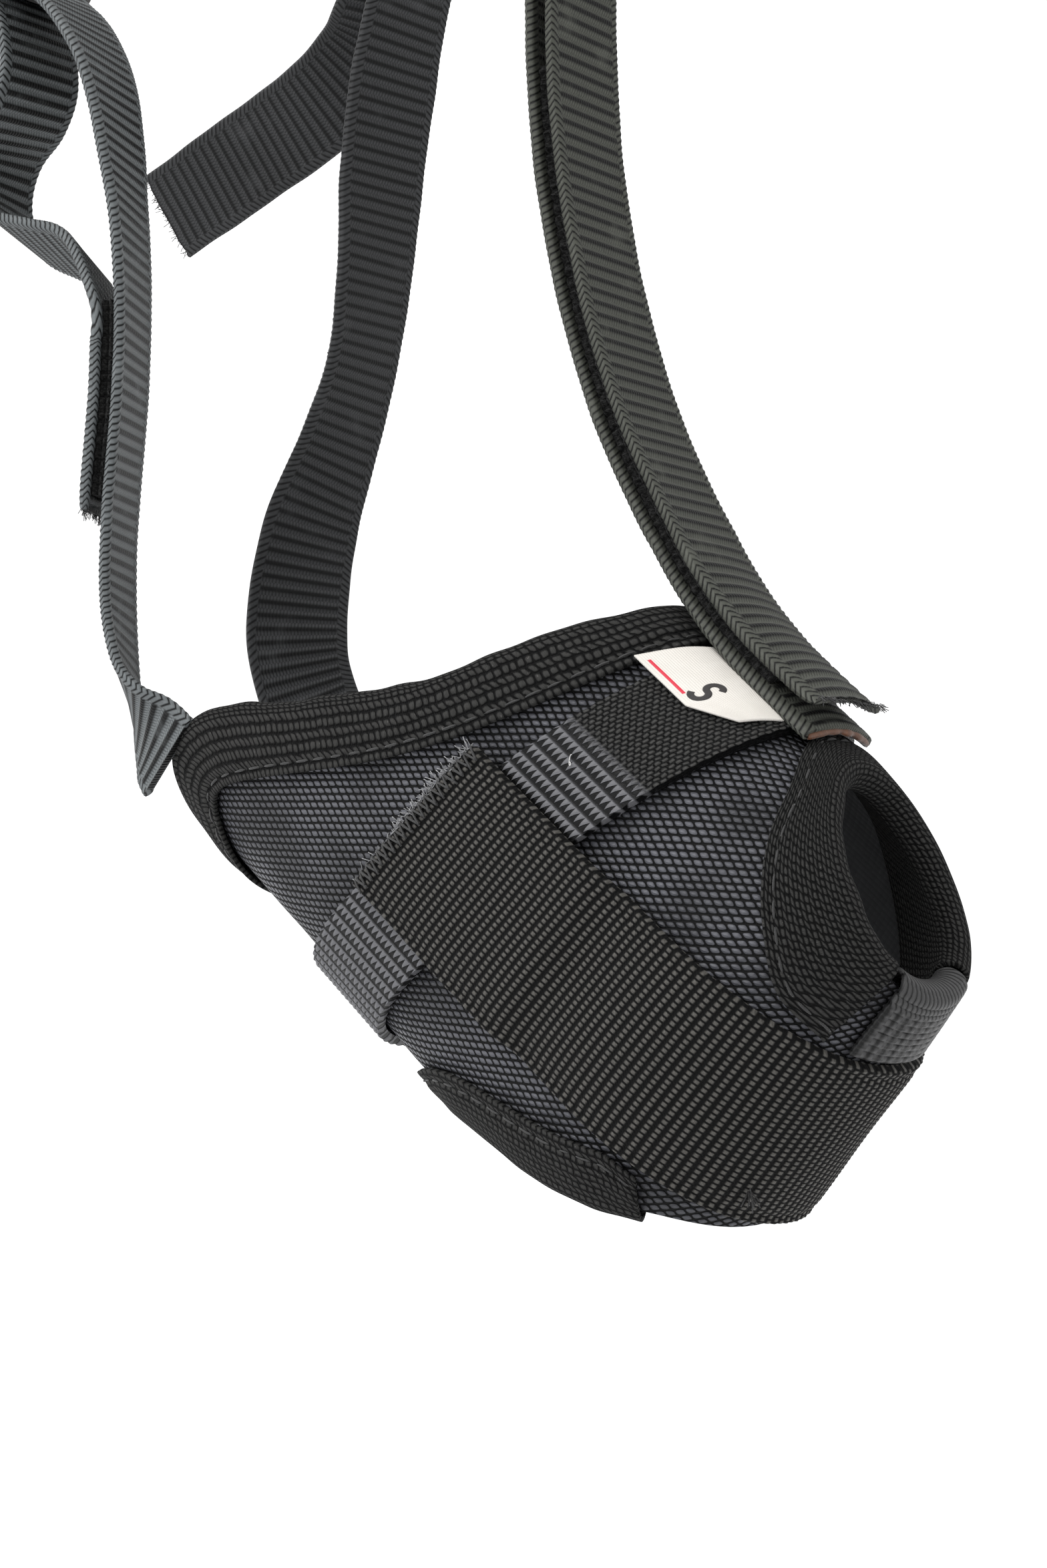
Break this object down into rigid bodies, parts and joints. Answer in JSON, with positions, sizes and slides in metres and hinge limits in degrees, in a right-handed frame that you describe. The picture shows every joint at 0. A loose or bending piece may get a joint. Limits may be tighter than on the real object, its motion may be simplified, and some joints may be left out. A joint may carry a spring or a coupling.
{
  "type": "soft sleeve dog muzzle",
  "caption": "Soft woven sleeve muzzle with bound nose and throat openings, chin band, forehead strap and adjustable cheek straps ending in an open side release buckle.",
  "frame": {"origin": "middle of the sleeve, on the line the dog's snout lies along", "axes": "+X towards the nose, +Y towards the dog's left, +Z from throat to bridge"},
  "size_m": [0.2299, 0.06, 0.1509],
  "materials": {
    "shell_nylon": "woven ballistic nylon",
    "lining_cloth": "matte cloth",
    "binding_tape": "matte knitted tape",
    "band_webbing": "ribbed webbing",
    "strap_webbing": "ribbed webbing",
    "hook_and_loop": "hook and loop pile",
    "buckle_plastic": "moulded, satin",
    "label_cloth": "woven label"
  },
  "bodies": {
    "sleeve": {"outer_shell": "shell_nylon", "inner_lining": "lining_cloth", "rear_rim_binding": "binding_tape", "nose_rim_binding": "binding_tape", "throat_binding": "binding_tape", "chin_band": "band_webbing", "girth_strap": "band_webbing", "nose_lip_strip": "band_webbing", "size_label": "label_cloth"},
    "forehead_strap": {"forehead_strap": "strap_webbing", "forehead_hook_strip": "hook_and_loop"},
    "forehead_tail": {"forehead_tail": "strap_webbing", "forehead_loop_strip": "hook_and_loop"},
    "right_strap": {"right_cheek_strap": "strap_webbing", "right_hook_strip": "hook_and_loop"},
    "right_tail": {"right_cheek_tail": "strap_webbing", "right_loop_strip": "hook_and_loop"},
    "left_strap": {"left_cheek_strap": "strap_webbing", "left_hook_strip": "hook_and_loop"},
    "left_tail": {"left_cheek_tail": "strap_webbing", "left_loop_strip": "hook_and_loop"},
    "buckle_female": {"buckle_female": "buckle_plastic"},
    "buckle_male": {"buckle_male": "buckle_plastic"},
    "prong_left": {"prong_left": "buckle_plastic"},
    "prong_right": {"prong_right": "buckle_plastic"}
  },
  "joints": [
    {"name": "forehead_swing", "type": "hinge", "parent": "sleeve", "child": "forehead_strap", "pos_m": [0.0225, 0, 0.0384], "axis": [0, 1, 0], "range_deg": [0, 25]},
    {"name": "forehead_peel", "type": "hinge", "parent": "forehead_strap", "child": "forehead_tail", "pos_m": [-0.08208, 0, 0.10088], "axis": [0, -1, 0], "range_deg": [0, 60]},
    {"name": "right_swing", "type": "hinge", "parent": "sleeve", "child": "right_strap", "pos_m": [-0.0542, -0.0186, -0.0235], "axis": [0.0961, -0.2584, 0.9612], "range_deg": [-5, 45]},
    {"name": "right_peel", "type": "hinge", "parent": "right_strap", "child": "right_tail", "pos_m": [-0.1461, -0.0186, 0.0414], "axis": [0, 1, 0], "range_deg": [0, 40]},
    {"name": "female_tilt", "type": "hinge", "parent": "right_strap", "child": "buckle_female", "pos_m": [-0.148, -0.0186, 0.0435], "axis": [0, 1, 0], "range_deg": [-30, 30]},
    {"name": "left_swing", "type": "hinge", "parent": "sleeve", "child": "left_strap", "pos_m": [-0.0536, 0.0184, -0.0224], "axis": [0.1184, 0.0693, 0.9905], "range_deg": [-45, 5]},
    {"name": "left_peel", "type": "hinge", "parent": "left_strap", "child": "left_tail", "pos_m": [-0.1234, 0.0186, 0.082], "axis": [0, 1, 0], "range_deg": [-4, 35]},
    {"name": "male_tilt", "type": "hinge", "parent": "left_strap", "child": "buckle_male", "pos_m": [-0.123, 0.0186, 0.085], "axis": [0, 1, 0], "range_deg": [-30, 30]},
    {"name": "prong_left_flex", "type": "hinge", "parent": "buckle_male", "child": "prong_left", "pos_m": [-0.12914, 0.0243, 0.09289], "axis": [0.7892, 0, 0.6141], "range_deg": [0, 6], "stiffness_Nm_per_rad": 0.05},
    {"name": "prong_right_flex", "type": "hinge", "parent": "buckle_male", "child": "prong_right", "pos_m": [-0.12914, 0.0129, 0.09289], "axis": [0.7892, 0, 0.6141], "range_deg": [-6, 0], "stiffness_Nm_per_rad": 0.05}
  ],
  "couplings": [
    {"joint": "prong_right_flex", "follows": "prong_left_flex", "ratio": -1}
  ]
}
